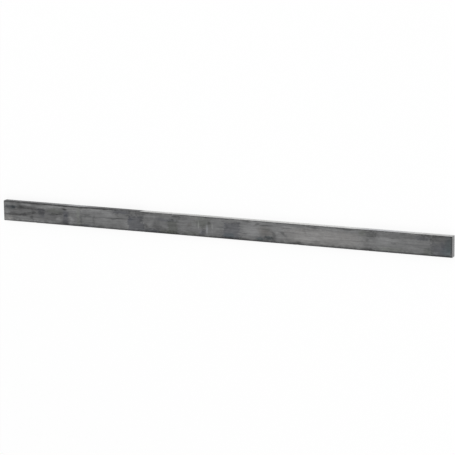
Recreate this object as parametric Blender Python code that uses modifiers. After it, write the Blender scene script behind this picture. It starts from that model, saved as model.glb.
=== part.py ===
"""Flat copper busbar, tin-plated: a plain bar of 30 x 10 mm section, 695 mm long.

The real thing is one piece of drawn bar, sawn to length, so it is one solid. It lies on one of its
broad faces, lengthwise along X, with the origin at the centre of the face that it rests on. The four
long edges keep the rounding that the drawing die gave them, and the sharp outline of each sawn end
is broken with a file.
"""

import math

import bmesh
import bpy

# Driving dimensions, in metres
BAR_LENGTH = 0.695
BAR_WIDTH = 0.030
BAR_THICKNESS = 0.010
LONG_EDGE_RADIUS = 0.0010
END_CHAMFER = 0.0003

# How finely the rounding of a long edge is cut into flats
LONG_EDGE_SEGMENTS = 8

# Only the outline of an end turns more sharply than this, once the long edges are round
END_OUTLINE_ANGLE = math.radians(60)

# The dull tin plate
TIN_COLOUR = (0.155, 0.156, 0.158, 1.0)
TIN_ROUGHNESS = 0.42
TIN_METALLIC = 0.9


def clear_scene():
    for old in list(bpy.data.objects):
        bpy.data.objects.remove(old, do_unlink=True)


def tin_plate_material():
    material = bpy.data.materials.new("tin_plate")
    material.use_nodes = True
    shader = material.node_tree.nodes["Principled BSDF"]
    shader.inputs["Base Color"].default_value = TIN_COLOUR
    shader.inputs["Roughness"].default_value = TIN_ROUGHNESS
    shader.inputs["Metallic"].default_value = TIN_METALLIC
    return material


def runs_lengthwise(edge):
    first, second = edge.verts
    return abs(first.co.x - second.co.x) > BAR_LENGTH / 2


def sharp_edged_bar():
    """The bar as a block with its lower face at z = 0 and its four long edges weighted for rounding."""
    block = bmesh.new()
    bmesh.ops.create_cube(block, size=1.0)
    bmesh.ops.scale(block, vec=(BAR_LENGTH, BAR_WIDTH, BAR_THICKNESS), verts=block.verts)
    bmesh.ops.translate(block, vec=(0.0, 0.0, BAR_THICKNESS / 2), verts=block.verts)
    weight = block.edges.layers.float.new("bevel_weight_edge")
    for edge in block.edges:
        edge[weight] = 1.0 if runs_lengthwise(edge) else 0.0
    mesh = bpy.data.meshes.new("busbar")
    block.to_mesh(mesh)
    block.free()
    mesh.shade_smooth()
    return mesh


def round_long_edges(bar):
    rounding = bar.modifiers.new("rounded_long_edges", "BEVEL")
    rounding.limit_method = "WEIGHT"
    rounding.width = LONG_EDGE_RADIUS
    rounding.segments = LONG_EDGE_SEGMENTS
    rounding.use_clamp_overlap = False
    rounding.harden_normals = True


def break_end_outlines(bar):
    chamfer = bar.modifiers.new("filed_end_outlines", "BEVEL")
    chamfer.limit_method = "ANGLE"
    chamfer.angle_limit = END_OUTLINE_ANGLE
    chamfer.width = END_CHAMFER
    chamfer.segments = 1
    chamfer.use_clamp_overlap = False
    chamfer.harden_normals = True


def main():
    clear_scene()
    stock = bpy.data.collections.new("copper_busbar")
    bpy.context.scene.collection.children.link(stock)
    bar = bpy.data.objects.new("busbar", sharp_edged_bar())
    stock.objects.link(bar)
    bar.data.materials.append(tin_plate_material())
    round_long_edges(bar)
    break_end_outlines(bar)


main()
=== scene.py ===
import math
import random

import bpy
import numpy as np
from mathutils import Matrix, Vector


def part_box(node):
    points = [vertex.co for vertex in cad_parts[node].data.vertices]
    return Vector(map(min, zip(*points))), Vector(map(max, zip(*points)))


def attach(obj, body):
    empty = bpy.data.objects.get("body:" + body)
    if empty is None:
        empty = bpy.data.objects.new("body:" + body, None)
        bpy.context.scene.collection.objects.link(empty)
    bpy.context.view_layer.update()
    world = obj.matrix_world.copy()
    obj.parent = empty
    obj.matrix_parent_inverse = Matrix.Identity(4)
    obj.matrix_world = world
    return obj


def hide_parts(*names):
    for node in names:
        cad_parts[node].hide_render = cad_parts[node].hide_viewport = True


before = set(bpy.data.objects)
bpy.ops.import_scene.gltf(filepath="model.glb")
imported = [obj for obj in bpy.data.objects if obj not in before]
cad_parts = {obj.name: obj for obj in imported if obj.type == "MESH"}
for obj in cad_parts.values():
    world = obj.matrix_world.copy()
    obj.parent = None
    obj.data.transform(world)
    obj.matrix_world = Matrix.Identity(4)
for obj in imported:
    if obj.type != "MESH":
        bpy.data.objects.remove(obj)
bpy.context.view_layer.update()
barLow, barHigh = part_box("busbar")
print("packed bar loaded, mm:", [round(1000 * s, 2) for s in barHigh - barLow])

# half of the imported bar's length, width and thickness, in mm
halfLong, halfBroad, halfNarrow = [500 * size for size in barHigh - barLow]

# The bar's skin. All sizes in mm: along runs from the middle towards +X, across towards +Y.
bar = {
    "edgeRadius": 1.0,          # rounding that the drawing die leaves on the long edges
    "radiusDrift": 0.16,        # how much that rounding wanders along the bar
    "driftWaves": (190.0, 83.0, 31.0),   # lengths of the slow waves in which it does
    "endChamfer": 0.3,          # file stroke round each sawn end
    "broadSteps": 40,           # faces across the flat of a broad side
    "narrowSteps": 10,          # faces across the flat of a narrow side
    "arcSteps": 4,              # faces in half of a rounded edge
    "stationStep": 2.4,         # distance between cross sections
    "nickStep": 0.5,            # the same, where the bar has been knocked
    "closestStep": 0.2,         # a cross section nearer than this to the last one is left out
    "hollow": 0.025,            # how far the flats dip, drawn bar is never quite flat
    "hollowDrift": 0.4,         # the share of that dip which comes and goes along the bar
    "hollowShape": 0.7,         # under 1 the dip starts close to the edges
    "sharpAngle": 38.0,         # degrees, a fold sharper than this keeps a hard line
    "sawRelief": 0.07,          # depth of the saw strokes on the ends
    "sawShares": (0.5, 0.32, 0.18),      # of that depth: even, coarse strokes, fine strokes
    "sawPitch": 2.9,            # distance between the coarse strokes
    "sawFinePitch": 0.61,       # the fine ones, as a share of it
    "sawCurve": 0.012,          # how strongly a round blade bends them
    "sawOffset": 40.0,          # how far the seed of an end moves the blade's middle
    "sawLean": 0.25,            # how far they lean over
    "nicks": [                  # knocks on the long edges
        {"along": -296.0, "edge": "upperRight", "length": 5.0, "depth": 0.30},
        {"along": -231.0, "edge": "lowerLeft", "length": 3.5, "depth": 0.25},
        {"along": -186.0, "edge": "upperLeft", "length": 4.5, "depth": 0.35},
        {"along": -118.0, "edge": "upperRight", "length": 3.0, "depth": 0.22},
        {"along": -71.0, "edge": "upperLeft", "length": 3.0, "depth": 0.25},
        {"along": -12.0, "edge": "lowerRight", "length": 6.0, "depth": 0.30},
        {"along": 33.0, "edge": "upperLeft", "length": 3.5, "depth": 0.28},
        {"along": 121.0, "edge": "upperRight", "length": 5.5, "depth": 0.35},
        {"along": 168.0, "edge": "upperLeft", "length": 2.8, "depth": 0.22},
        {"along": 226.0, "edge": "upperRight", "length": 3.2, "depth": 0.24},
        {"along": 262.0, "edge": "lowerLeft", "length": 4.0, "depth": 0.30},
        {"along": 318.0, "edge": "upperLeft", "length": 3.6, "depth": 0.26},
    ],
}
longEdges = ["lowerRight", "lowerLeft", "upperLeft", "upperRight"]  # round the section, left is +Y
sideSteps = [bar["broadSteps"], bar["narrowSteps"]] * 2             # under, left, upper, right side
sideLengths = [steps + 2 * bar["arcSteps"] for steps in sideSteps]
sideStarts = np.cumsum([0] + sideLengths)
slotOfSide = [1, 2, 0, 3]                                           # upper 0, under 1, left 2, right 3
sawnSlot = 4

# The texture map: the long sides in three lengths, one above the other, with the ends beside them
mapLayout = {
    "lengths": 3,
    "margin": 1.0,              # mm left free round each length
    "endGap": 5.0,              # mm from the lengths to the ends
    "endHeights": (20.0, 60.0), # mm, the middles of the two ends
}
rowLength = 2 * halfLong / mapLayout["lengths"]
rowHeight = 4 * (halfBroad + halfNarrow) + 2 * mapLayout["margin"]
mapSize = max(rowLength + mapLayout["endGap"] + 2 * halfNarrow + mapLayout["margin"],
              mapLayout["lengths"] * rowHeight)


def wander(positions, seed):
    # slow drift along the bar, from -1 to 1, another one for each seed
    waves = [np.sin(2 * np.pi * positions / length + 1.7 * seed + 2.3 * n) / (n + 1)
             for n, length in enumerate(bar["driftWaves"])]
    return sum(waves) / sum(1 / (n + 1) for n in range(len(waves)))


def oneSide(firstCentre, firstRadius, lastCentre, lastRadius, firstAngle, steps):
    # half an arc, a flat and half an arc, for every cross section at once
    turn = np.linspace(0, math.pi / 4, bar["arcSteps"] + 1)
    first = np.stack([firstCentre[0] + firstRadius * np.cos(firstAngle + turn),
                      firstCentre[1] + firstRadius * np.sin(firstAngle + turn)], -1)
    turn = turn + math.pi / 4
    last = np.stack([lastCentre[0] + lastRadius * np.cos(firstAngle + turn),
                     lastCentre[1] + lastRadius * np.sin(firstAngle + turn)], -1)
    share = np.linspace(0, 1, steps + 1)[1:-1, None]
    flat = first[:, -1:] * (1 - share) + last[:, :1] * share
    return np.concatenate([first, flat, last[:, :-1]], 1)


def crossSections(radii, inset):
    # one row of (y, z) points for each row of four edge radii
    centres, rounding = [], []
    for n, (ySide, zSide) in enumerate([(-1, -1), (1, -1), (1, 1), (-1, 1)]):
        radius = radii[:, n:n + 1]
        centres.append((ySide * (halfBroad - radius), halfNarrow + zSide * (halfNarrow - radius)))
        rounding.append(radius - inset)
    sides = []
    for n in range(4):
        m = (n + 1) % 4
        sides.append(oneSide(centres[n], rounding[n], centres[m], rounding[m],
                             (2 * n + 5) * math.pi / 4, sideSteps[n]))
    return np.concatenate(sides, 1)


def knockEdge(sections, positions, nick):
    # pushes a long edge in where something has hit it
    start = sideStarts[longEdges.index(nick["edge"])]
    reach = np.arange(-bar["arcSteps"] - 1, bar["arcSteps"] + 2)
    away = np.clip(np.abs(positions - nick["along"]) / (nick["length"] / 2), 0, 1)
    depth = nick["depth"] * (1 - away ** 2) ** 1.5
    share = 1 - (np.abs(reach) / (bar["arcSteps"] + 2)) ** 2
    inward = np.sign(np.array([0.0, halfNarrow]) - sections[:, start]) / math.sqrt(2)
    points = (start + reach) % sections.shape[1]
    sections[:, points] += (depth[:, None] * share)[..., None] * inward[:, None]


def placeStations():
    # where the cross sections stand: evenly spread, and closer together at each knock
    reach = halfLong - bar["endChamfer"]
    wanted = list(np.linspace(-reach, reach, int(2 * reach / bar["stationStep"]) + 1))
    for nick in bar["nicks"]:
        half = nick["length"] / 2
        wanted += list(nick["along"] + np.arange(-half, half, bar["nickStep"]))
    wanted.sort()
    positions = [wanted[0]]
    for place in wanted[1:]:
        if place - positions[-1] > bar["closestStep"]:
            positions.append(place)
    positions[-1] = reach
    return np.array(positions)


def shapeSections(positions, radii):
    # every cross section, with the dip of the flats and the knocks
    sections = crossSections(radii, 0.0)
    dip = np.sin(np.linspace(0, math.pi, bar["broadSteps"] + 1)) ** bar["hollowShape"]
    drift = bar["hollowDrift"]
    for side, inward, seed in ((0, 1, 0.4), (2, -1, 2.9)):
        first = sideStarts[side] + bar["arcSteps"]
        depth = bar["hollow"] * (1 - drift + drift * wander(positions, seed))
        sections[:, first:first + bar["broadSteps"] + 1, 1] += inward * depth[:, None] * dip
    for nick in bar["nicks"]:
        knockEdge(sections, positions, nick)
    return sections


def fillOutline(outline):
    # a grid that follows the four sides of an outline
    closed = np.concatenate([outline, outline[:1]])
    bottom, right, top, left = [closed[sideStarts[n]:sideStarts[n + 1] + 1] for n in range(4)]
    top, left = top[::-1], left[::-1]
    u = np.linspace(0, 1, sideLengths[0] + 1)[:, None, None]
    v = np.linspace(0, 1, sideLengths[1] + 1)[None, :, None]
    between = (1 - v) * bottom[:, None] + v * top[:, None] + (1 - u) * left[None] + u * right[None]
    return between - ((1 - u) * (1 - v) * bottom[0] + u * (1 - v) * bottom[-1]
                      + (1 - u) * v * top[0] + u * v * top[-1])


def aroundGrid(grid):
    # the outer points of such a grid, in the outline's order
    return np.concatenate([grid[:-1, 0], grid[-1, :-1], grid[:0:-1, -1], grid[0, :0:-1]])


def sawStrokes(grid, seed):
    # shallow marks of a round blade, always cut into the bar
    y, z = grid[..., 0], grid[..., 1]
    sweep = y + bar["sawCurve"] * (z + bar["sawOffset"] * seed) ** 2 + bar["sawLean"] * z
    coarse = np.sin(2 * np.pi * sweep / bar["sawPitch"] + seed)
    finePitch = bar["sawFinePitch"] * bar["sawPitch"]
    fine = np.sin(2 * np.pi * sweep / finePitch + 2 * seed + 0.3 * z)
    even, coarseShare, fineShare = bar["sawShares"]
    return bar["sawRelief"] * (even + coarseShare * coarse + fineShare * fine)


def addFace(shell, slot, corners):
    # shell holds the lists that the mesh is made from; a corner is the number of a point and its place
    # on the texture map
    shell["faces"].append([int(number) for number, spot in corners])
    shell["slots"].append(slot)
    shell["maps"] += [tuple(spot) for number, spot in corners]


def addSides(shell, positions, sections):
    # the four long sides, from one cross section to the next
    ring = sections.shape[1]
    stations = np.repeat(positions[:, None, None], ring, 1)
    shell["points"].append(np.concatenate([stations, sections], 2).reshape(-1, 3))
    slotOfStep = np.repeat(slotOfSide, sideLengths)
    steps = np.linalg.norm(np.roll(sections[0], -1, 0) - sections[0], axis=1)
    around = np.cumsum([mapLayout["margin"]] + list(steps))
    for n in range(len(positions) - 1):
        row = min(int((positions[n] + halfLong) / rowLength), mapLayout["lengths"] - 1)
        left, right = positions[n:n + 2] + halfLong - row * rowLength + mapLayout["margin"]
        for k in range(ring):
            m = (k + 1) % ring
            low, high = around[k:k + 2] + row * rowHeight
            addFace(shell, slotOfStep[k], [(n * ring + k, (left, low)), (n * ring + m, (left, high)),
                                           ((n + 1) * ring + m, (right, high)),
                                           ((n + 1) * ring + k, (right, low))])


def addEnd(shell, station, section, radii):
    # a sawn end: a narrow chamfer round the outermost cross section, and a grid with the saw strokes
    sign = 1 if station else -1
    ring = len(section)
    grid = fillOutline(crossSections(radii[None], bar["endChamfer"])[0])
    x = sign * (halfLong - sawStrokes(grid, 1.0 + sign))
    used = sum(len(points) for points in shell["points"])
    number = used + np.arange(x.size).reshape(x.shape)
    shell["points"].append(np.concatenate([x[..., None], grid], 2).reshape(-1, 3))
    corner = np.array([rowLength + mapLayout["endGap"], mapLayout["endHeights"][sign > 0]])
    spots, outerSpots = corner + grid[..., ::-1], corner + section[:, ::-1]
    rim, rimSpots = aroundGrid(number), aroundGrid(spots)
    for k in range(ring):
        m = (k + 1) % ring
        quad = [(station * ring + k, outerSpots[k]), (station * ring + m, outerSpots[m]),
                (rim[m], rimSpots[m]), (rim[k], rimSpots[k])]
        addFace(shell, sawnSlot, quad[::sign])
    for i in range(sideLengths[0]):
        for j in range(sideLengths[1]):
            quad = [(number[q], spots[q]) for q in ((i, j), (i + 1, j), (i + 1, j + 1), (i, j + 1))]
            addFace(shell, sawnSlot, quad[::sign])


def makeBar():
    positions = placeStations()
    radii = np.stack([bar["edgeRadius"] + bar["radiusDrift"] * wander(positions, 3.1 * n)
                      for n in range(4)], 1)
    sections = shapeSections(positions, radii)
    shell = {"points": [], "faces": [], "slots": [], "maps": []}
    addSides(shell, positions, sections)
    for station in (0, len(positions) - 1):
        addEnd(shell, station, sections[station], radii[station])

    mesh = bpy.data.meshes.new("busbarSkin")
    mesh.from_pydata((np.concatenate(shell["points"]) / 1000).tolist(), [], shell["faces"])
    mesh.polygons.foreach_set("material_index", np.array(shell["slots"], np.int32))
    layout = mesh.uv_layers.new(name="OFBake")
    layout.data.foreach_set("uv", (np.array(shell["maps"], np.float32) / mapSize).ravel())
    mesh.shade_smooth()
    mesh.set_sharp_from_angle(angle=math.radians(bar["sharpAngle"]))
    mesh.update()
    made = bpy.data.objects.new("busbarSkin", mesh)
    bpy.context.scene.collection.objects.link(made)
    return made


skin = makeBar()
print("bar skin made:", len(skin.data.polygons), "faces")


def addNode(tree, kind, inputs=None, **settings):
    # inputs takes plain values, or another node's output to link
    node = tree.nodes.new(kind)
    for name, value in settings.items():
        setattr(node, name, value)
    for name, value in (inputs or {}).items():
        if isinstance(value, bpy.types.NodeSocket):
            tree.links.new(value, node.inputs[name])
        else:
            node.inputs[name].default_value = value
    return node


def maths(tree, operation, first, second=0.0, third=0.0):
    node = addNode(tree, "ShaderNodeMath", {0: first, 1: second, 2: third}, operation=operation)
    return node.outputs[0]


def vectors(tree, operation, first, second=(0.0, 0.0, 0.0)):
    node = addNode(tree, "ShaderNodeVectorMath", {0: first, 1: second}, operation=operation)
    return node.outputs[0]


def ramp(tree, value, fromLow, fromHigh, toLow=0.0, toHigh=1.0, smooth=True):
    node = addNode(tree, "ShaderNodeMapRange", {
        "Value": value, "From Min": fromLow, "From Max": fromHigh, "To Min": toLow, "To Max": toHigh})
    node.interpolation_type = "SMOOTHSTEP" if smooth else "LINEAR"
    return node.outputs[0]


def noise(tree, place, size, detail=2.0, offset=(0.0, 0.0, 0.0), turn=0.0):
    # size is one blotch in mm, along and across, and every blotch is 10 mm deep; offset picks
    # another stretch of the noise
    shifted = vectors(tree, "ADD", place, offset)
    if turn:
        shifted = addNode(tree, "ShaderNodeVectorRotate", {"Vector": shifted, "Angle": math.radians(turn)},
                          rotation_type="Z_AXIS").outputs[0]
    inBlotches = vectors(tree, "DIVIDE", shifted, (*size, 10.0))
    return addNode(tree, "ShaderNodeTexNoise", {"Vector": inBlotches, "Scale": 1.0, "Detail": detail})


def makeStainAndPaintedLightShape():
    # 1 inside the stain, or the painted light, and 0 outside; place, middle and halfSize are in mm, and
    # rough times ragged eats into its rim
    group = bpy.data.node_groups.new("stainAndPaintedLightShape", "ShaderNodeTree")
    sockets = group.interface.new_socket
    for name in ("place", "middle", "halfSize"):
        sockets(name, in_out="INPUT", socket_type="NodeSocketVector")
    for name in ("rough", "ragged", "turn", "square", "inner", "outer"):
        sockets(name, in_out="INPUT", socket_type="NodeSocketFloat")
    sockets("mask", in_out="OUTPUT", socket_type="NodeSocketFloat")
    given = addNode(group, "NodeGroupInput").outputs
    turned = addNode(group, "ShaderNodeVectorRotate", {
        "Vector": given["place"], "Center": given["middle"], "Angle": given["turn"]},
        rotation_type="Z_AXIS").outputs[0]
    local = vectors(group, "SUBTRACT", turned, given["middle"])
    local = vectors(group, "DIVIDE", local, given["halfSize"])
    roundReach = addNode(group, "ShaderNodeVectorMath", {0: local}, operation="LENGTH").outputs["Value"]
    parts = addNode(group, "ShaderNodeSeparateXYZ", {0: vectors(group, "ABSOLUTE", local)}).outputs
    squareReach = maths(group, "MAXIMUM", parts["X"], parts["Y"])
    reach = addNode(group, "ShaderNodeMix", {0: given["square"], 2: roundReach, 3: squareReach})
    reach = reach.outputs[0]
    reach = maths(group, "MULTIPLY_ADD", given["rough"], given["ragged"], reach)
    mask = ramp(group, reach, given["inner"], given["outer"], 1.0, 0.0)
    addNode(group, "NodeGroupOutput", {"mask": mask})
    return group


stainAndPaintedLightShape = makeStainAndPaintedLightShape()
print("stain shape made")

# Tarnish colours, as a tint on the plain grey of the plate
tints = {
    "cool": (0.98, 0.99, 1.038),
    "teal": (0.92, 1.0, 1.03),
    "olive": (0.99, 1.01, 0.965),
    "warm": (1.02, 1.0, 0.98),
}

# The upper broad side, which the photograph shows. textures holds how much each texture changes the
# tone. In a stain, length runs along the bar and width across it, in mm, and turn is in degrees.
# tone is how light it leaves the metal: under 1 darker, over 1 paler. soft is how wide its rim fades,
# square makes it a rectangle, ragged scales the teeth of its rim, and straight keeps it in one line.
upperSide = {
    "colour": (0.152, 0.153, 0.154),
    "roughness": 0.40,
    "textures": {"clouds": 0.07, "mottle": 0.10, "speckle": 0.06, "streaks": 0.13, "grain": 0.08,
                 "hairlines": 0.04},
    "scratchDepth": 0.22,
    "highEdgeShade": {"width": 1.6, "tone": 0.50, "teeth": 0.7},   # painted shade: dark lines along the two long edges and the ends
    "lowEdgeShade": {"width": 3.8, "tone": 0.44, "teeth": 0.35},
    "endEdgeShade": {"width": 1.2, "tone": 0.74},
    "bump": 0.30,
    "seed": 0.0,
    # besides stains, the list holds painted shade along the edges and one painted highlight, each marked
    "stainsAndPaintedLight": [
        # broad patches, which the rest lies on; the painted light among them is marked
        dict(along=-310, across=-13.0, length=84, width=5, tone=1.35),
        # painted shade along the upper edge
        dict(along=-296, across=14.0, length=104, width=2.2, tone=0.57),
        dict(along=-288, across=0, length=112, width=40, tone=0.85, soft=0.15, square=1),
        # painted shade along the upper edge
        dict(along=-208, across=14.0, length=86, width=2.2, tone=0.56),
        dict(along=-188, across=0.9, length=66, width=1.9, tone=0.84, turn=1),
        dict(along=-76, across=2.0, length=68, width=24, tone=0.91, soft=0.5),
        # this and the next: painted shade along the lower and the upper edge
        dict(along=96, across=-11.0, length=280, width=7, tone=0.88, soft=0.5, square=1),
        dict(along=115, across=14.2, length=460, width=2.4, tone=0.92, soft=0.4, square=1),
        # painted highlight with a warm tint: the paler stretch where a softbox's broad reflection falls
        dict(along=159, across=-2.2, length=114, width=23, tone=1.23, tint="warm", soft=0.3, square=0.6),
        dict(along=276, across=10.0, length=84, width=7.8, tone=0.80, soft=0.16, square=0.9),
        # the dark -X end, with pale and dark streaks
        dict(along=-343, across=9.6, length=11, width=5.6, tone=1.26),
        dict(along=-342, across=-0.6, length=8, width=5, tone=1.30),
        dict(along=-340, across=-9.5, length=15, width=6, tone=1.34, tint="warm"),
        dict(along=-339, across=-13.8, length=20, width=2.8, tone=1.34),
        dict(along=-338, across=6.9, length=20, width=4.4, tone=0.55, tint="cool"),
        dict(along=-333, across=-4.2, length=26, width=3.6, tone=0.66),
        dict(along=-332, across=6.6, length=10, width=5.5, tone=0.62, tint="teal"),
        dict(along=-331, across=11.2, length=12, width=5, tone=1.10),
        dict(along=-327, across=-13.3, length=50, width=2.8, tone=1.38),
        dict(along=-324, across=-11.4, length=14, width=4, tone=0.78),
        dict(along=-321, across=12.4, length=9, width=3.4, tone=0.84),
        dict(along=-320, across=7.4, length=10, width=5.4, tone=0.58),
        dict(along=-319, across=-7.8, length=12, width=3.4, tone=1.14),
        dict(along=-317, across=4.4, length=42, width=4.0, tone=0.86),
        dict(along=-315, across=-3.0, length=7, width=3.4, tone=0.76),
        dict(along=-312, across=-2.6, length=27, width=3.8, tone=0.64, turn=6),
        dict(along=-311, across=11.2, length=15, width=3.2, tone=1.42),
        dict(along=-305, across=-12.4, length=15, width=4, tone=1.18),
        dict(along=-305, across=7.0, length=28, width=4.4, tone=0.66),
        dict(along=-301, across=-7.2, length=6, width=5, tone=0.68),
        dict(along=-297, across=0.2, length=9, width=4.5, tone=0.66),
        dict(along=-296, across=4.4, length=22, width=3.0, tone=0.84),
        dict(along=-291, across=-0.5, length=18, width=7, tone=0.85),
        dict(along=-285, across=0.6, length=10, width=5, tone=0.60, tint="cool"),
        dict(along=-285, across=5.4, length=16, width=4.4, tone=0.60, tint="cool"),
        dict(along=-284, across=-8.0, length=28, width=7, tone=1.12),
        dict(along=-283, across=-4.0, length=9, width=4, tone=0.80, tint="cool"),
        dict(along=-277, across=2.6, length=22, width=4.6, tone=0.80),
        dict(along=-273, across=10.4, length=34, width=3.8, tone=1.50, turn=2),
        dict(along=-270, across=-12.6, length=38, width=4.6, tone=1.32),
        dict(along=-265, across=0.2, length=16, width=3.2, tone=0.58, turn=4),
        dict(along=-263, across=-3.0, length=16, width=4.6, tone=0.82),
        dict(along=-262, across=4.8, length=24, width=5.4, tone=0.82, tint="olive"),
        dict(along=-255, across=-7.0, length=9, width=8, tone=1.34),
        dict(along=-254, across=1.9, length=12, width=3.2, tone=0.62, turn=10),
        # a quiet stretch with faint bands across it
        dict(along=-248, across=-9.6, length=22, width=4.6, tone=0.77),
        dict(along=-248, across=11.8, length=18, width=3.4, tone=1.32),
        dict(along=-247, across=-11.6, length=19, width=3.2, tone=0.74),
        dict(along=-246, across=8.8, length=7.5, width=3.0, tone=0.40),
        dict(along=-245, across=-3.0, length=7, width=24, tone=0.80, tint="cool", square=0.6, soft=0.3),
        dict(along=-244, across=0.3, length=8, width=4.2, tone=0.68, tint="cool"),
        dict(along=-236, across=-6.0, length=6, width=11, tone=1.36),
        dict(along=-236, across=9.8, length=18, width=7, tone=1.28),
        dict(along=-224, across=0, length=5, width=34, tone=1.04, tint="olive", square=1, soft=0.3),
        dict(along=-220, across=-5.6, length=15, width=7, tone=0.86),
        dict(along=-220, across=12.0, length=15, width=4, tone=1.26),
        dict(along=-219, across=-2.0, length=4, width=18, tone=0.80),
        dict(along=-211, across=2.6, length=13, width=4, tone=0.72),
        dict(along=-209, across=-12.0, length=26, width=3.2, tone=0.70, tint="cool"),
        dict(along=-200, across=10.4, length=30, width=4.4, tone=1.24),
        dict(along=-198, across=-3.0, length=3.5, width=15, tone=0.80),
        dict(along=-190, across=12.0, length=15, width=3.2, tone=1.18),
        dict(along=-186, across=-2.0, length=38, width=4, tone=1.14),
        dict(along=-176, across=8.2, length=12, width=9, tone=1.16),
        # the cool square patch on the -X half
        dict(along=-163, across=1.4, length=18, width=2.6, tone=0.70),
        dict(along=-161, across=-8.4, length=27, width=7, tone=0.82),
        dict(along=-160, across=7.2, length=6, width=5, tone=0.78),
        dict(along=-155, across=11.6, length=27, width=6, tone=0.68, tint="cool", soft=0.3, square=0.5),
        dict(along=-149, across=3.0, length=18, width=9, tone=0.86),
        dict(along=-145, across=-3.5, length=9, width=8, tone=1.18),
        dict(along=-139, across=1.6, length=8, width=6, tone=0.84, tint="cool"),
        dict(along=-139, across=8.2, length=18, width=6, tone=0.80),
        dict(along=-137, across=-13.0, length=32, width=3.6, tone=1.22),
        dict(along=-136, across=11.0, length=16, width=6, tone=0.88),
        dict(along=-130.6, across=-4.4, length=24, width=23, tone=0.68, tint="cool", soft=0.16,
             square=1, turn=4),
        dict(along=-127, across=-13.0, length=14, width=3.2, tone=1.18),
        dict(along=-124, across=9.0, length=14, width=6, tone=0.80),
        dict(along=-123, across=12.6, length=22, width=4.8, tone=0.72),
        dict(along=-121, across=3.0, length=6, width=9, tone=0.82),
        dict(along=-115, across=-4.8, length=7, width=5, tone=0.74),
        dict(along=-114, across=3.0, length=12, width=6, tone=0.84),
        dict(along=-112, across=-8.2, length=17, width=6, tone=0.74),
        # olive patches
        dict(along=-107, across=-4.6, length=7, width=6, tone=1.16),
        dict(along=-105, across=-11.6, length=27, width=6, tone=0.74, tint="cool", soft=0.35),
        dict(along=-104, across=6.4, length=14, width=5, tone=1.13),
        dict(along=-104, across=12.8, length=16, width=4, tone=0.82),
        dict(along=-97, across=-4.6, length=13, width=11, tone=0.76, soft=0.6),
        dict(along=-90, across=-9.0, length=18, width=6, tone=0.78),
        dict(along=-90, across=4.8, length=26, width=9, tone=0.88),
        dict(along=-82, across=5.6, length=34, width=4, tone=0.86, tint="cool"),
        dict(along=-80, across=-11.4, length=30, width=5.4, tone=0.82, tint="olive", soft=0.4),
        dict(along=-71.8, across=-4.0, length=16, width=21, tone=0.73, tint="olive", soft=0.25, square=0.8),
        dict(along=-68, across=8.4, length=14, width=6, tone=0.86),
        dict(along=-66, across=12.2, length=13, width=2.8, tone=0.64),
        dict(along=-62, across=-10.4, length=13, width=7, tone=0.80),
        dict(along=-55, across=10.4, length=18, width=6, tone=0.82),
        dict(along=-54, across=-5.0, length=13, width=9, tone=1.10),
        # pale stripes across, with darker ones between them
        dict(along=-46, across=1.3, length=9, width=3.2, tone=0.80, tint="warm"),
        dict(along=-42, across=-10.6, length=24, width=6, tone=0.82, tint="olive"),
        dict(along=-30.7, across=2.4, length=2.2, width=10, tone=1.48, ragged=2.2, straight=True),
        dict(along=-27.2, across=-8.6, length=3.0, width=6, tone=1.2, tint="cool", ragged=2.2,
             straight=True),
        dict(along=-26, across=12.6, length=34, width=3.0, tone=0.97, tint="olive"),
        dict(along=-24, across=5.0, length=25, width=12, tone=0.76, tint="olive", soft=0.6),
        dict(along=-23.5, across=-8.0, length=8, width=8, tone=0.66, tint="cool"),
        dict(along=-22, across=0.0, length=9, width=5, tone=0.86),
        dict(along=-17.5, across=-3.0, length=2.8, width=14, tone=1.44, tint="cool", ragged=2.2,
             straight=True),
        dict(along=-14.5, across=5.6, length=5.5, width=5.5, tone=0.68),
        dict(along=-13, across=12.4, length=10, width=4.4, tone=0.84),
        dict(along=-9.3, across=1.0, length=2.8, width=10, tone=1.25, ragged=2.2, straight=True),
        dict(along=3.5, across=-6.0, length=9, width=20, tone=0.85),
        # the cool square patch next to the middle
        dict(along=11.5, across=10.0, length=9, width=6, tone=0.86),
        dict(along=12.5, across=1.0, length=5, width=11, tone=0.82, turn=-14),
        dict(along=17, across=-9.5, length=17, width=6, tone=0.88, tint="teal"),
        dict(along=20.6, across=-3.0, length=25.5, width=24, tone=0.74, tint="cool", soft=0.2, square=1),
        dict(along=25, across=8.4, length=19, width=4.6, tone=0.76, soft=0.35),
        # a warm blotch with dark spots below it
        dict(along=37.5, across=-12.0, length=13, width=5.4, tone=0.82),
        dict(along=42, across=9.8, length=12, width=5, tone=0.87),
        dict(along=42.5, across=-5.2, length=7, width=2.0, tone=0.62),
        dict(along=43, across=12.6, length=11, width=1.9, tone=0.72),
        dict(along=54, across=1.4, length=28, width=17, tone=1.22, soft=0.6),
        dict(along=56, across=12.4, length=28, width=5, tone=1.12),
        dict(along=59, across=10.3, length=9, width=2.4, tone=0.66, turn=14),
        dict(along=65, across=-11.2, length=13, width=5.4, tone=0.72, tint="teal"),
        dict(along=69, across=-4.6, length=13, width=6, tone=0.82),
        dict(along=71, across=3.4, length=18, width=9, tone=0.84, tint="warm"),
        dict(along=73, across=-2.0, length=20, width=8, tone=0.85, tint="warm"),
        dict(along=73.5, across=9.6, length=18, width=1.9, tone=0.58, turn=2),
        dict(along=75, across=-12.0, length=18, width=3.4, tone=0.82),
        dict(along=78, across=-8.4, length=13, width=5.6, tone=0.50, tint="teal"),
        dict(along=85.5, across=-5.5, length=6.5, width=14, tone=0.66, turn=16),
        dict(along=91, across=3.6, length=17, width=6, tone=1.16),
        dict(along=95, across=-13.2, length=24, width=3.4, tone=1.22),
        dict(along=97, across=1.2, length=8, width=3.4, tone=0.66, turn=-20),
        dict(along=101.5, across=-2.4, length=8, width=3.4, tone=0.70, turn=-20),
        dict(along=105, across=7.7, length=15, width=1.4, tone=0.66, turn=3),
        dict(along=105, across=9.4, length=15, width=2.2, tone=1.18),
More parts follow.
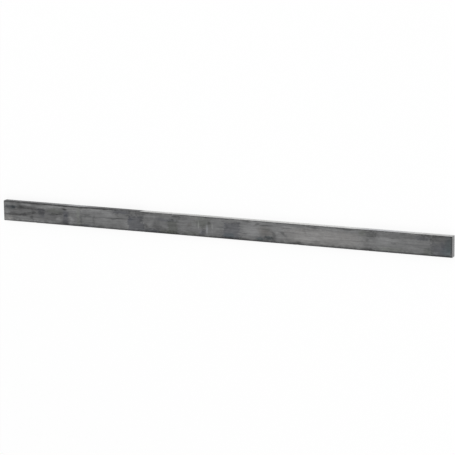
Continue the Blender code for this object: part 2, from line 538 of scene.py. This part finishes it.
        dict(along=107, across=-5.0, length=16, width=11, tone=0.87),
        # the stretch that the painted highlight lightens, with its own stains
        dict(along=121.5, across=-12.4, length=11, width=4, tone=0.70),
        dict(along=123, across=12.4, length=22, width=4, tone=0.84),
        dict(along=133, across=5.0, length=5, width=7, tone=0.82, turn=24),
        dict(along=138, across=-7.0, length=26, width=13, tone=1.14),
        dict(along=143, across=11.9, length=19, width=3.2, tone=0.62),
        dict(along=149, across=-8.5, length=14, width=4.4, tone=0.82),
        dict(along=160, across=4.4, length=34, width=8, tone=1.13),
        dict(along=190, across=8.6, length=24, width=6.5, tone=0.89),
        dict(along=194, across=12.5, length=20, width=2.6, tone=0.66),
        dict(along=203, across=6.4, length=34, width=15, tone=0.92, soft=0.6),
        # a dark blotch, then a quiet stretch
        dict(along=218, across=10.2, length=13, width=7, tone=0.80, tint="olive"),
        dict(along=223, across=-6.5, length=9, width=14, tone=0.94),
        dict(along=225, across=0.4, length=5.5, width=4.5, tone=0.76),
        dict(along=226, across=-12.6, length=19, width=3.4, tone=0.72),
        dict(along=229, across=-8.4, length=18, width=5.5, tone=0.83),
        dict(along=231, across=9.8, length=16, width=11, tone=0.64, soft=0.55),
        dict(along=246, across=1.0, length=34, width=13, tone=1.07, soft=0.7),
        dict(along=258, across=-10.0, length=38, width=5.4, tone=0.98, tint="olive"),
        dict(along=260, across=3.4, length=40, width=4.4, tone=1.12),
        dict(along=262, across=11.6, length=38, width=6, tone=1.12),
        dict(along=262.5, across=-1.8, length=6, width=4, tone=0.78),
        dict(along=265, across=-12.6, length=34, width=4, tone=1.22),
        dict(along=284, across=7.4, length=13, width=5, tone=0.88),
        dict(along=305, across=8.6, length=20, width=5, tone=0.80, tint="cool", soft=0.7),
        dict(along=308, across=-1.0, length=28, width=22, tone=0.86, soft=0.5),
        dict(along=311, across=12.8, length=18, width=3.6, tone=0.84),
        dict(along=313, across=-10.0, length=13, width=11, tone=0.80, tint="olive"),
        # the dark +X end
        dict(along=324, across=-10.4, length=7, width=4, tone=1.24),
        # painted shade along the upper edge
        dict(along=324, across=13.0, length=46, width=4, tone=0.76),
        dict(along=327, across=-7.0, length=24, width=18, tone=0.92, tint="cool", soft=0.6),
        dict(along=333.8, across=0, length=33, width=44, tone=0.69, soft=0.18, square=1, ragged=0.7),
        dict(along=334.5, across=1.0, length=7, width=11, tone=0.80, tint="cool"),
        dict(along=339, across=-8.0, length=15, width=12, tone=0.97, tint="teal"),
        dict(along=342.5, across=2.0, length=9, width=22, tone=0.80, tint="teal"),
        dict(along=343.5, across=-11.0, length=7, width=9, tone=1.20),
        # painted shade along the +X end
        dict(along=346.3, across=0, length=2.2, width=44, tone=0.66, square=1),
    ],
}


def scatteredStains(seed, halfLength, halfWidth, streaks, spots, bands):
    # marks for a side that the photograph doesn't show, drawn by lot from the kinds on the upper one
    lot = random.Random(seed)
    stainsAndPaintedLight = []
    for n in range(bands):
        stainsAndPaintedLight.append(dict(along=halfLength * (2 * (n + lot.random()) / bands - 1), across=0,
                           length=lot.uniform(14, 30), width=4 * halfWidth, tone=lot.uniform(0.70, 0.84),
                           tint=lot.choice(["cool", "olive", "warm"]), soft=0.18, square=1))
    for n in range(streaks):
        stainsAndPaintedLight.append(dict(along=halfLength * lot.uniform(-1, 1),
                           across=halfWidth * lot.uniform(-0.9, 0.9),
                           length=lot.uniform(25, 80), width=halfWidth * lot.uniform(0.10, 0.28),
                           tone=lot.choice([0.68, 0.78, 1.18, 1.30]), turn=lot.uniform(-2, 2)))
    for n in range(spots):
        stainsAndPaintedLight.append(dict(along=halfLength * lot.uniform(-1, 1),
                           across=halfWidth * lot.uniform(-0.9, 0.9),
                           length=lot.uniform(4, 14), width=halfWidth * lot.uniform(0.2, 0.6),
                           tone=lot.choice([0.55, 0.66, 0.80, 1.25]), turn=lot.uniform(-25, 25)))
    return stainsAndPaintedLight


# The under side isn't in the photograph: the same plate, with marks of its own
underSide = {
    "colour": (0.148, 0.149, 0.150),
    "roughness": 0.42,
    "textures": {"clouds": 0.10, "mottle": 0.12, "speckle": 0.06, "streaks": 0.14, "grain": 0.08,
                 "hairlines": 0.04},
    "scratchDepth": 0.30,
    # painted shade: dark lines along the edges
    "highEdgeShade": {"width": 2.0, "tone": 0.60, "teeth": 0.8},
    "lowEdgeShade": {"width": 2.6, "tone": 0.55, "teeth": 0.6},
    "endEdgeShade": {"width": 2.2, "tone": 0.62},
    "bump": 0.30,
    "seed": 40.0,
    "stainsAndPaintedLight": scatteredStains(5, halfLong, halfBroad, streaks=22, spots=26, bands=6),
}

# The narrow +Y side, which shows above the broad one: pale, partly its own tin and partly painted sheen,
# the reflection it catches at a grazing angle; dark over its -X part, where oxide says how much of the
# metallic shine is gone
leftSideWithPaintedSheen = {
    # pale partly as painted sheen, the reflection this side catches at a grazing angle
    "colour": (0.56, 0.56, 0.555),
    "roughness": 0.36,
    "textures": {"clouds": 0.06, "mottle": 0.12, "speckle": 0.06, "streaks": 0.06, "grain": 0.07,
                 "hairlines": 0.035},
    "scratchDepth": 0.15,
    # painted shade: dark lines along the edges
    "highEdgeShade": {"width": 0.7, "tone": 0.66, "teeth": 0.6},
    "lowEdgeShade": {"width": 0.7, "tone": 0.66, "teeth": 0.6},
    "bump": 0.25,
    "seed": 80.0,
    "stainsAndPaintedLight": [
        # the oxide, and how it lightens and darkens along the bar
        dict(along=-252, across=0, length=260, width=60, tone=0.13, tint="cool", soft=0.03, square=1,
             ragged=0.12, oxide=0.9),
        dict(along=-316, across=-1.0, length=56, width=5, tone=1.70, soft=0.6),
        dict(along=-236, across=1.0, length=86, width=8, tone=2.70, soft=0.6),
        dict(along=-226, across=0, length=28, width=24, tone=1.70, square=1),
        dict(along=-184, across=0, length=7, width=24, tone=0.36, square=1),
        dict(along=-167, across=0, length=54, width=24, tone=0.62, soft=0.2, square=1),
        # the rest, pale with the painted sheen
        dict(along=-40, across=3.2, length=120, width=2.6, tone=0.84, soft=0.7),
        dict(along=-20, across=-1.0, length=34, width=5, tone=0.84, tint="olive"),
        dict(along=90, across=-2.5, length=70, width=3, tone=0.90, tint="warm", soft=0.7),
        dict(along=160, across=0, length=110, width=24, tone=1.14, soft=0.3, square=1),
        dict(along=230, across=2.5, length=40, width=3, tone=0.84, tint="cool", soft=0.6),
        dict(along=252, across=0.0, length=70, width=10, tone=0.84, tint="cool", soft=0.6),
        dict(along=330, across=0, length=54, width=24, tone=0.84, soft=0.3, square=1),
    ],
}

# The narrow -Y side, which the photograph doesn't show
rightSide = {
    "colour": (0.34, 0.34, 0.338),
    "roughness": 0.40,
    "textures": {"clouds": 0.12, "mottle": 0.14, "speckle": 0.06, "streaks": 0.10, "grain": 0.08,
                 "hairlines": 0.04},
    "scratchDepth": 0.20,
    # painted shade: dark lines along the edges
    "highEdgeShade": {"width": 0.9, "tone": 0.60, "teeth": 0.6},
    "lowEdgeShade": {"width": 0.9, "tone": 0.60, "teeth": 0.6},
    "bump": 0.25,
    "seed": 120.0,
    "stainsAndPaintedLight": scatteredStains(9, halfLong, halfNarrow, streaks=16, spots=18, bands=5),
}

# The sawn ends: paler than the plate, with fine strokes of the blade. Here along is the bar's width,
# towards +Y, and across its thickness, upwards.
sawnEnds = {
    "colour": (0.32, 0.32, 0.32),
    "roughness": 0.46,
    "textures": {"clouds": 0.08, "mottle": 0.10, "speckle": 0.06, "strokes": 0.16},
    "scratchDepth": 0.0,
    # painted shade: dark lines along the edges
    "highEdgeShade": {"width": 0.5, "tone": 0.60, "teeth": 0.5},
    "lowEdgeShade": {"width": 0.5, "tone": 0.60, "teeth": 0.5},
    "endEdgeShade": {"width": 0.5, "tone": 0.60},
    "bump": 0.55,
    "seed": 160.0,
    "stainsAndPaintedLight": [
        dict(along=6, across=1.0, length=16, width=7, tone=0.82, soft=0.8),
        # painted shade: darkens the -Y part of each end, where the end softbox's highlight falls
        dict(along=-11, across=-1.0, length=13, width=12, tone=0.92, soft=0.7),
    ],
}

# What repeats all over the metal: size along and across in mm, detail as the noise node has it, and
# relief as the share in the height
textures = {
    "clouds": {"size": (36.0, 13.0), "detail": 2.0, "relief": 0.0},
    "mottle": {"size": (8.0, 4.0), "detail": 3.0, "relief": 0.5},
    "speckle": {"size": (1.3, 0.9), "detail": 2.0, "relief": 0.25},
    "streaks": {"size": (60.0, 2.4), "detail": 2.0, "relief": 0.0},
    "grain": {"size": (44.0, 0.5), "detail": 2.0, "relief": 0.5},      # lines that the die left
    "hairlines": {"size": (13.0, 0.2), "detail": 1.0, "relief": 0.3},
    "strokes": {"size": (0.55, 16.0), "detail": 2.0, "relief": 0.8, "turn": -9.0},   # of the saw
}
# Scratches show where the noise passes from the first to the second value of band
scratches = {
    "slid": {"size": (55.0, 0.55), "turn": 3.0, "band": (0.70, 0.75)},      # long, from the rack
    "struck": {"size": (0.6, 11.0), "turn": -14.0, "band": (0.73, 0.79)},   # short, across
    "struckClouds": (-0.1, 0.5),                                            # only in paler clouds
    "relief": -0.6,
}
# How the outlines of the stains and painted light, and of the painted shade along the edges, wander, in mm
outlines = {
    "driftSize": (14.0, 6.0),
    "driftDetail": 4.0,
    "driftReach": (13.0, 5.0, 0.0),
    "raggedSize": (3.6, 1.8),
    "raggedDetail": 3.0,
    "raggedReach": 0.28,        # as a share of the stain
    "teethSize": (8.0, 900.0),
    "teethDetail": 2.0,
    "thinnestEdgeShade": 0.2,
    "edgeShadeFade": (0.25, 1.2),     # full and gone at these shares of a rim's width
}
# How the darkness of the colour, from tarnish and painted shade alike, changes the roughness, between which
# shares of the plain grey it does so, and the greatest height of the relief in metres
surface = {"darkest": 0.14, "palest": -0.06, "darkAt": 0.4, "paleAt": 1.5, "speckle": 0.03,
           "relief": 0.00004}


def evenly(tree, texture):
    # a noise texture's middle values, spread from -1 to 1
    return ramp(tree, texture.outputs["Fac"], 0.3, 0.7, -1.0, 1.0, smooth=False)


def scaled(tree, vector, factor):
    node = addNode(tree, "ShaderNodeVectorMath", {0: vector, "Scale": factor}, operation="SCALE")
    return node.outputs[0]


def darken(tree, colour, mask, tint):
    # multiplies the colour by the tint where the mask is 1
    mix = addNode(tree, "ShaderNodeMix", {"Factor": mask}, data_type="RGBA", blend_type="MULTIPLY")
    tree.links.new(colour, mix.inputs[6])
    mix.inputs[7].default_value = (*tint, 1.0)
    return mix.outputs[2]


def texturePlate(tree, place, look, offset):
    # tone about 1 and height of the plain metal, and the textures that they are made of
    waves = {}
    tone, height = 1.0, 0.0
    for name, depth in look["textures"].items():
        kind = textures[name]
        waves[name] = evenly(tree, noise(tree, place, kind["size"], kind["detail"], offset,
                                         kind.get("turn", 0.0)))
        tone = maths(tree, "MULTIPLY_ADD", waves[name], depth, tone)
        if kind["relief"]:
            height = maths(tree, "MULTIPLY_ADD", waves[name], kind["relief"], height)
    return tone, height, waves


def layStainsAndPaintedLight(tree, colour, place, look):
    # returns the colour with the stains and the painted light laid on, and how metallic oxide leaves the
    # surface
    drift = noise(tree, place, outlines["driftSize"], outlines["driftDetail"],
                  (9.0, 3.0, look["seed"])).outputs["Color"]
    drift = vectors(tree, "SUBTRACT", drift, (0.5, 0.5, 0.5))
    wandering = vectors(tree, "ADD", place, vectors(tree, "MULTIPLY", drift, outlines["driftReach"]))
    rough = evenly(tree, noise(tree, place, outlines["raggedSize"], outlines["raggedDetail"],
                               (5.0, 8.0, look["seed"])))
    metallic = None
    for stainOrPaintedLight in look["stainsAndPaintedLight"]:
        mask = addNode(tree, "ShaderNodeGroup", node_tree=stainAndPaintedLightShape)
        tree.links.new(place if stainOrPaintedLight.get("straight") else wandering, mask.inputs["place"])
        tree.links.new(rough, mask.inputs["rough"])
        soft = stainOrPaintedLight.get("soft", 0.5)
        for name, value in (("middle", (stainOrPaintedLight["along"], stainOrPaintedLight["across"], 0.0)),
                            ("halfSize", (stainOrPaintedLight["length"] / 2, stainOrPaintedLight["width"] / 2, 1.0)),
                            ("ragged", outlines["raggedReach"] * stainOrPaintedLight.get("ragged", 1.0)),
                            ("turn", -math.radians(stainOrPaintedLight.get("turn", 0.0))),
                            ("square", stainOrPaintedLight.get("square", 0.0)),
                            ("inner", 1 - soft),
                            ("outer", 1 + soft)):
            mask.inputs[name].default_value = value
        tint = [stainOrPaintedLight["tone"] * t for t in tints.get(stainOrPaintedLight.get("tint"), (1.0, 1.0, 1.0))]
        colour = darken(tree, colour, mask.outputs["mask"], tint)
        if "oxide" in stainOrPaintedLight:
            kept = maths(tree, "MULTIPLY_ADD", mask.outputs["mask"], -stainOrPaintedLight["oxide"], 1.0)
            metallic = maths(tree, "MULTIPLY", metallic, kept) if metallic else kept
    return colour, metallic


def paintEdgeShade(tree, colour, inset, place, rim, seed):
    # painted shade along an edge: inset is the distance from the edge in mm; teeth make the line broader
    # and narrower along it
    width = rim["width"]
    if rim.get("teeth"):
        teeth = evenly(tree, noise(tree, place, outlines["teethSize"], outlines["teethDetail"],
                                   (seed, 0.0, seed)))
        width = maths(tree, "MULTIPLY_ADD", teeth, rim["teeth"] * width, width)
        width = maths(tree, "MAXIMUM", width, outlines["thinnestEdgeShade"])
    mask = ramp(tree, maths(tree, "DIVIDE", inset, width), *outlines["edgeShadeFade"], 1.0, 0.0)
    return darken(tree, colour, mask, [rim["tone"]] * 3)


def scratch(tree, place, clouds, offset):
    # 1 along the scratches, 0 beside them
    marks = {}
    for name in ("slid", "struck"):
        kind = scratches[name]
        lines = noise(tree, place, kind["size"], 0.0, offset, kind["turn"]).outputs["Fac"]
        marks[name] = ramp(tree, lines, *kind["band"])
    struck = maths(tree, "MULTIPLY", marks["struck"], ramp(tree, clouds, *scratches["struckClouds"]))
    return maths(tree, "MAXIMUM", marks["slid"], struck)


def makeMetal(name, look, alongAxis, acrossAxis, halfAcross, halfAlong):
    material = bpy.data.materials.new(name)
    material.use_nodes = True
    tree = material.node_tree
    shader = tree.nodes["Principled BSDF"]

    # the place on this side in mm, measured from its middle
    onBar = scaled(tree, addNode(tree, "ShaderNodeTexCoord").outputs["Object"], 1000.0)
    onBar = vectors(tree, "SUBTRACT", onBar, (0.0, 0.0, halfNarrow))
    parts = addNode(tree, "ShaderNodeSeparateXYZ", {0: onBar}).outputs
    along, across = parts[alongAxis], parts[acrossAxis]
    place = addNode(tree, "ShaderNodeCombineXYZ", {"X": along, "Y": across, "Z": 0.0}).outputs[0]

    offset = [look["seed"] * share for share in (3.7, 1.9, 1.0)]   # each side is cut from other noise
    tone, height, waves = texturePlate(tree, place, look, offset)
    colour, metallic = layStainsAndPaintedLight(tree, scaled(tree, look["colour"], tone), place, look)
    highInset = maths(tree, "SUBTRACT", halfAcross, across)
    lowInset = maths(tree, "ADD", across, halfAcross)
    # painted shade along the long edges, and along the ends where the look has it
    colour = paintEdgeShade(tree, colour, highInset, place, look["highEdgeShade"], look["seed"])
    colour = paintEdgeShade(tree, colour, lowInset, place, look["lowEdgeShade"], look["seed"] + 7.0)
    if "endEdgeShade" in look:
        endInset = maths(tree, "SUBTRACT", halfAlong, maths(tree, "ABSOLUTE", along))
        colour = paintEdgeShade(tree, colour, endInset, place, look["endEdgeShade"], look["seed"])
    if look["scratchDepth"]:
        marks = scratch(tree, place, waves["clouds"], offset)
        colour = scaled(tree, colour, maths(tree, "MULTIPLY_ADD", marks, look["scratchDepth"], 1.0))
        height = maths(tree, "MULTIPLY_ADD", marks, scratches["relief"], height)
    tree.links.new(colour, shader.inputs["Base Color"])

    # the darker the colour, from tarnish and painted shade alike, the rougher it is
    brightness = addNode(tree, "ShaderNodeRGBToBW", {0: colour}).outputs[0]
    grey = look["colour"][1]
    roughness = ramp(tree, brightness, surface["darkAt"] * grey, surface["paleAt"] * grey,
                     look["roughness"] + surface["darkest"], look["roughness"] + surface["palest"],
                     smooth=False)
    roughness = maths(tree, "MULTIPLY_ADD", waves["speckle"], surface["speckle"], roughness)
    tree.links.new(roughness, shader.inputs["Roughness"])
    if metallic:
        tree.links.new(metallic, shader.inputs["Metallic"])
    else:
        shader.inputs["Metallic"].default_value = 1.0

    bump = addNode(tree, "ShaderNodeBump", {
        "Height": height, "Strength": look["bump"], "Distance": surface["relief"]})
    tree.links.new(bump.outputs[0], shader.inputs["Normal"])
    return material


for material in (makeMetal("dullTinUpper", upperSide, "X", "Y", halfBroad, halfLong),
                 makeMetal("dullTinUnder", underSide, "X", "Y", halfBroad, halfLong),
                 makeMetal("tinLeftWithPaintedSheen", leftSideWithPaintedSheen, "X", "Z", halfNarrow, halfLong),
                 makeMetal("brightTinRight", rightSide, "X", "Z", halfNarrow, halfLong),
                 makeMetal("sawnMetal", sawnEnds, "Y", "Z", halfNarrow, halfBroad)):
    skin.data.materials.append(material)
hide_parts("busbar")
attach(skin, "root")
print("finishes made:", [m.name for m in skin.data.materials])

# Floor, light and camera, in metres
studio = {
    "floorSize": 14.0,
    "floorGap": 0.0001,
    "floorColour": (0.82, 0.82, 0.82),
    "floorGlow": 0.828,         # what the camera and the metal see of the floor besides its shadow
    "floorShare": 0.20,
    "worldLight": 0.80,
    "lamps": [
        {"name": "overheadSoftbox", "place": (-0.35, 0.75, 1.9), "aim": (0.05, 0.0, 0.0),
         "size": 1.5, "power": 9.0},
        {"name": "endSoftbox", "place": (1.3, -0.9, 1.2), "aim": (0.15, 0.0, 0.0),
         "size": 1.0, "power": 4.0},
    ],
    # fitted to the photograph: where the camera stands, what it looks at, how far it is turned
    "cameraPlace": (1.21070, 0.66167, 2.73934),
    "cameraAim": (0.01452, 0.00190, 0.01000),
    "cameraTurn": -0.698,
    "cameraLens": 170.27,
}


def seenRays(tree):
    # 1 for what the camera sees, directly or in metal and glass
    rays = addNode(tree, "ShaderNodeLightPath").outputs
    seen = maths(tree, "MAXIMUM", rays["Is Camera Ray"], rays["Is Glossy Ray"])
    return maths(tree, "MAXIMUM", seen, rays["Is Transmission Ray"])


def makeFloor():
    half = studio["floorSize"] / 2
    mesh = bpy.data.meshes.new("studioFloor")
    floorCorners = [(-half, -half, 0), (half, -half, 0), (half, half, 0), (-half, half, 0)]
    mesh.from_pydata(floorCorners, [], [(0, 1, 2, 3)])
    floor = bpy.data.objects.new("studioFloor", mesh)
    floor.location.z = barLow.z - studio["floorGap"]
    bpy.context.scene.collection.objects.link(floor)
    material = bpy.data.materials.new("palePaper")
    material.use_nodes = True
    tree = material.node_tree
    tree.nodes.remove(tree.nodes["Principled BSDF"])
    paper = addNode(tree, "ShaderNodeBsdfDiffuse", {"Color": (*studio["floorColour"], 1.0)})
    glowShare = 1 - studio["floorShare"]
    glow = addNode(tree, "ShaderNodeEmission", {
        "Color": (1, 1, 1, 1), "Strength": studio["floorGlow"] / glowShare})
    both = addNode(tree, "ShaderNodeMixShader", {
        "Fac": glowShare, 1: paper.outputs[0], 2: glow.outputs[0]})
    chosen = addNode(tree, "ShaderNodeMixShader", {
        "Fac": seenRays(tree), 1: paper.outputs[0], 2: both.outputs[0]})
    tree.links.new(chosen.outputs[0], tree.nodes["Material Output"].inputs["Surface"])
    mesh.materials.append(material)


def makeWorld():
    world = bpy.data.worlds.new("studioWorld")
    world.use_nodes = True
    tree = world.node_tree
    strength = ramp(tree, seenRays(tree), 0.0, 1.0, studio["worldLight"], 1.0, smooth=False)
    tree.links.new(strength, tree.nodes["Background"].inputs["Strength"])
    tree.nodes["Background"].inputs["Color"].default_value = (1, 1, 1, 1)
    bpy.context.scene.world = world


def makeLamps():
    for given in studio["lamps"]:
        lamp = bpy.data.lights.new(given["name"], "AREA")
        lamp.size = given["size"]
        lamp.energy = given["power"]
        holder = bpy.data.objects.new(given["name"], lamp)
        holder.location = given["place"]
        away = Vector(given["place"]) - Vector(given["aim"])
        holder.rotation_euler = away.to_track_quat("Z", "Y").to_euler()
        holder.visible_camera = False
        bpy.context.scene.collection.objects.link(holder)


def makeCamera():
    data = bpy.data.cameras.new("photoCamera")
    data.sensor_width = 36.0
    data.lens = studio["cameraLens"]
    data.clip_end = 50.0
    camera = bpy.data.objects.new("photoCamera", data)
    place, aim = Vector(studio["cameraPlace"]), Vector(studio["cameraAim"])
    back = (place - aim).normalized()
    side = Vector((0, 1, 0)).cross(back).normalized()
    side.rotate(Matrix.Rotation(math.radians(studio["cameraTurn"]), 3, back))
    up = back.cross(side)
    facing = Matrix((side, up, back)).transposed().to_4x4()
    camera.matrix_world = Matrix.Translation(place) @ facing
    bpy.context.scene.collection.objects.link(camera)
    bpy.context.scene.camera = camera


makeFloor()
makeWorld()
makeLamps()
makeCamera()
bpy.context.scene.view_settings.view_transform = "Standard"
print("studio made:", len(studio["lamps"]), "lamps")
